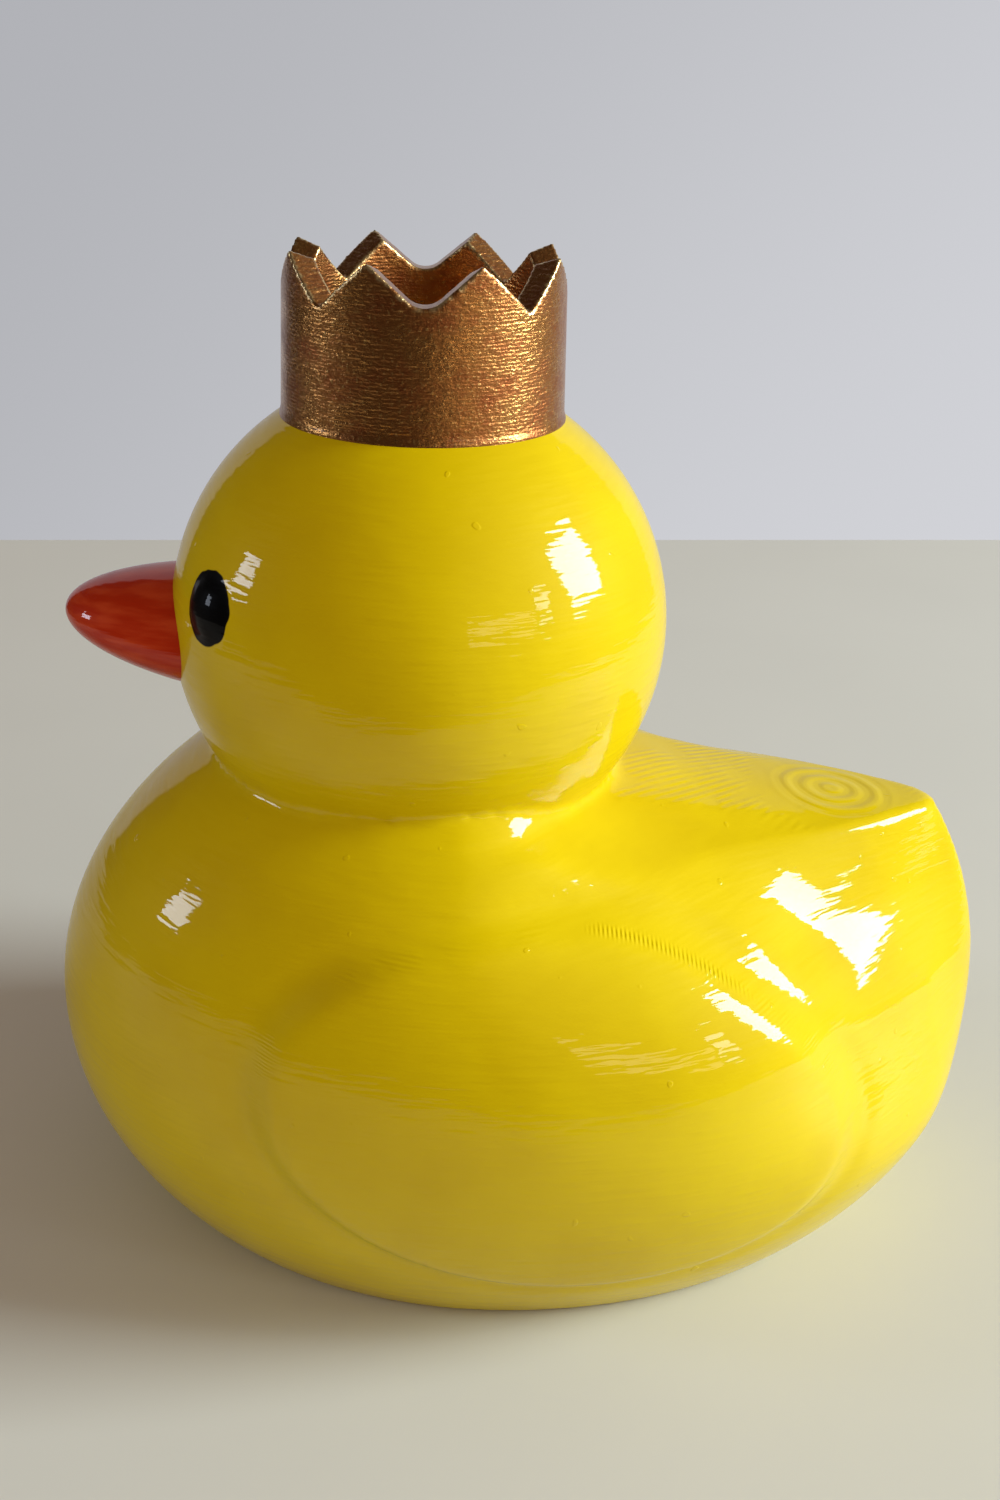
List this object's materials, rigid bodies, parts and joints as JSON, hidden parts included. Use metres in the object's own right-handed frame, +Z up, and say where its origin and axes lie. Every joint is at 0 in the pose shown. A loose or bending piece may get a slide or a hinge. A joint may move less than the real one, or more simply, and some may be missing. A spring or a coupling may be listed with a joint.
{
  "type": "rubber duck",
  "caption": "Standing toy duck with a round head, open toothed crown, pointed bill, raised wings and a flat-topped tail, on a flat base.",
  "frame": {"origin": "on the floor, under the middle of the overall box", "axes": "+Z up to the crown's tips, the longest extent; the bill points along -Y; +X is the duck's left side, the shortest extent"},
  "size_m": [0.0446, 0.0606, 0.062],
  "materials": {
    "duck": "printed plastic, yellow paint under a clear gloss coat; bill painted orange-red, eyes black, crown gold"
  },
  "bodies": {
    "root": {"duck": "duck"}
  },
  "joints": []
}
